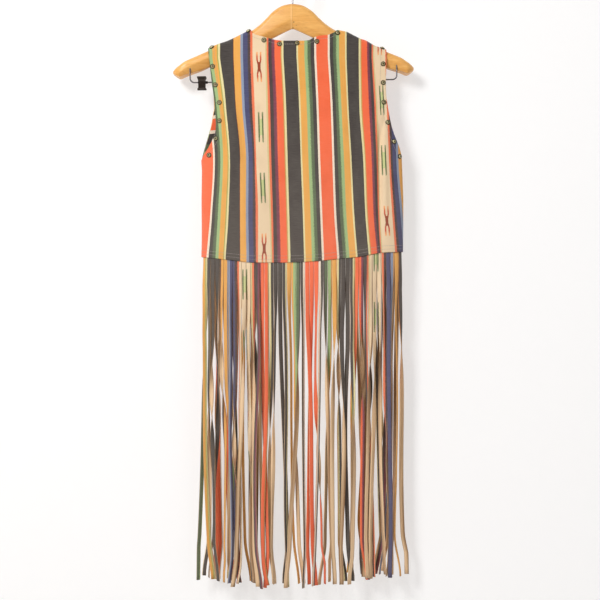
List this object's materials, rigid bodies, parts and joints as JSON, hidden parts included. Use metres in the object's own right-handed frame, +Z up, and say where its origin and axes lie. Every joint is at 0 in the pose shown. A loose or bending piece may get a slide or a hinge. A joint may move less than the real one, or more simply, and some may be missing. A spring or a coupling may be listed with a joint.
{
  "type": "fringed vest on a wooden hanger",
  "caption": "Sleeveless open-front vest in serape-striped cloth with long cut fringe and metal studs, hanging on a shaped wooden hanger with a trouser bar",
  "frame": {"origin": "the point where the hanger's hook bears on its rail, at the top of the inside of the hook's loop", "axes": "+Z up, +X to the wearer's right, +Y to the wearer's front; the back panel faces -Y"},
  "size_m": [0.448, 0.0694, 1.1368],
  "materials": {
    "striped_cloth": "matt printed knit",
    "fringe_cloth": "matt, cut in strips",
    "honey_wood": "satin varnish",
    "steel_wire": "satin",
    "black_steel": "gloss",
    "aged_metal": "aged, polished tops"
  },
  "bodies": {
    "root": {"back_panel": "striped_cloth", "front_left_panel": "striped_cloth", "front_right_panel": "striped_cloth", "fringe_back": "fringe_cloth", "fringe_front_left": "fringe_cloth", "fringe_front_right": "fringe_cloth", "hanger_wood": "honey_wood", "hanger_hook": "steel_wire", "hanger_bar": "steel_wire", "hanger_clip": "black_steel", "stud_neck_1": "aged_metal", "stud_neck_2": "aged_metal", "stud_neck_3": "aged_metal", "stud_neck_4": "aged_metal", "stud_neck_5": "aged_metal", "stud_neck_6": "aged_metal", "stud_armhole_left_1": "aged_metal", "stud_armhole_left_2": "aged_metal", "stud_armhole_left_3": "aged_metal", "stud_armhole_left_4": "aged_metal", "stud_armhole_left_5": "aged_metal", "stud_armhole_left_6": "aged_metal", "stud_armhole_left_7": "aged_metal", "stud_armhole_left_8": "aged_metal", "stud_armhole_left_9": "aged_metal", "stud_armhole_left_10": "aged_metal", "stud_armhole_left_11": "aged_metal", "stud_armhole_left_12": "aged_metal", "stud_armhole_left_13": "aged_metal", "stud_armhole_right_1": "aged_metal", "stud_armhole_right_2": "aged_metal", "stud_armhole_right_3": "aged_metal", "stud_armhole_right_4": "aged_metal", "stud_armhole_right_5": "aged_metal", "stud_armhole_right_6": "aged_metal", "stud_armhole_right_7": "aged_metal", "stud_armhole_right_8": "aged_metal", "stud_armhole_right_9": "aged_metal", "stud_armhole_right_10": "aged_metal", "stud_armhole_right_11": "aged_metal", "stud_armhole_right_12": "aged_metal", "stud_armhole_right_13": "aged_metal"}
  },
  "joints": []
}
